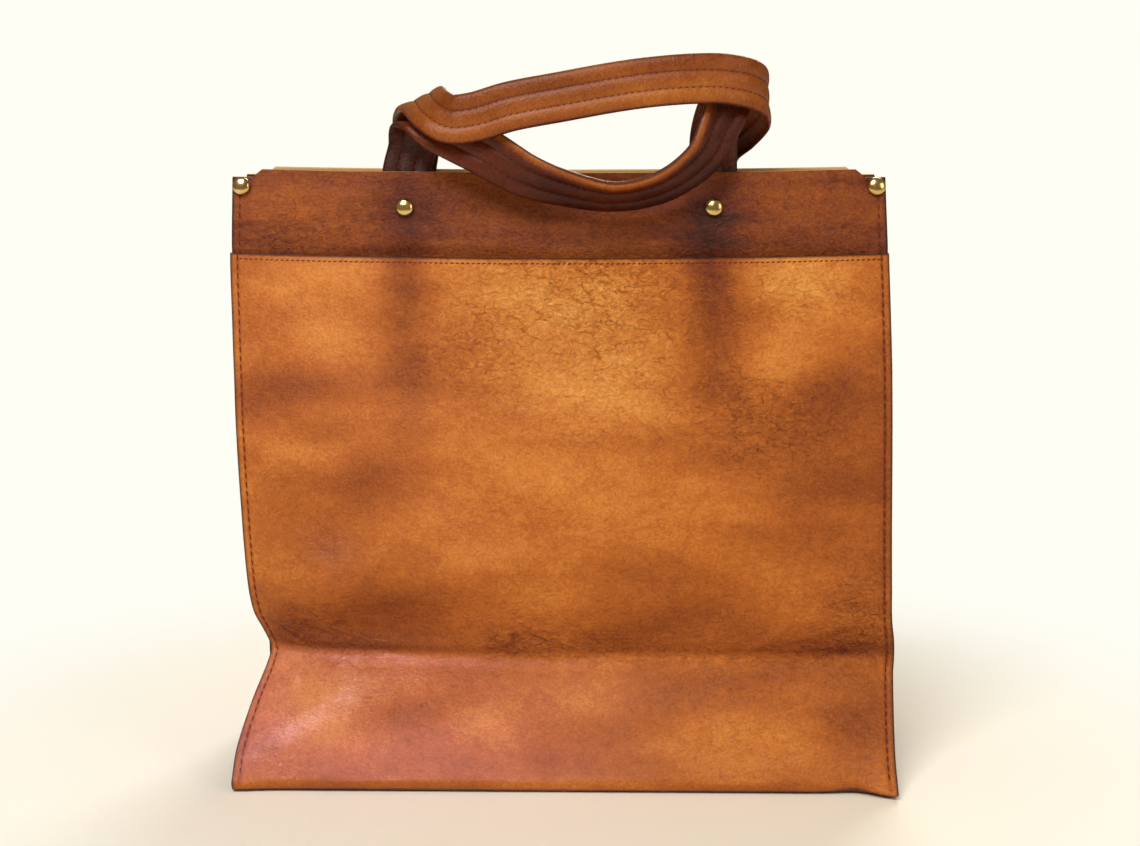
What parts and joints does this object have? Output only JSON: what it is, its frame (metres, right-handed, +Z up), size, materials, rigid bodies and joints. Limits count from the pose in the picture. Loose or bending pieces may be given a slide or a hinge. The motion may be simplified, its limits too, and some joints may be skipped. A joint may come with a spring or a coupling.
{
  "type": "tote bag",
  "caption": "Standing leather tote bag with a wide front pocket, folded gussets, two riveted strap handles and raw sewn edges.",
  "frame": {"origin": "on the surface it stands on, below the middle of the whole bag", "axes": "+Z up, the front with the pocket faces -Y, +X is to the right as seen from the front"},
  "size_m": [0.3663, 0.1508, 0.4002],
  "materials": {
    "body_leather": "smooth cognac full-grain leather, waxed, softly creased, with raw cut edges",
    "inner_leather": "thinner brown leather of the folded side walls, matt flesh side inwards",
    "strap_leather": "padded and stitched strap leather, waxed, darker than the panels",
    "brass": "polished domed cap rivets"
  },
  "bodies": {
    "root": {"body_panel": "body_leather", "front_panel": "body_leather", "gusset_left": "inner_leather", "gusset_right": "inner_leather", "handle_front": "strap_leather", "handle_back": "strap_leather", "handle_rivet_front_left": "brass", "handle_rivet_front_right": "brass", "handle_rivet_back_left": "brass", "handle_rivet_back_right": "brass", "corner_rivet_front_left": "brass", "corner_rivet_front_right": "brass", "corner_rivet_back_left": "brass", "corner_rivet_back_right": "brass"}
  },
  "joints": []
}
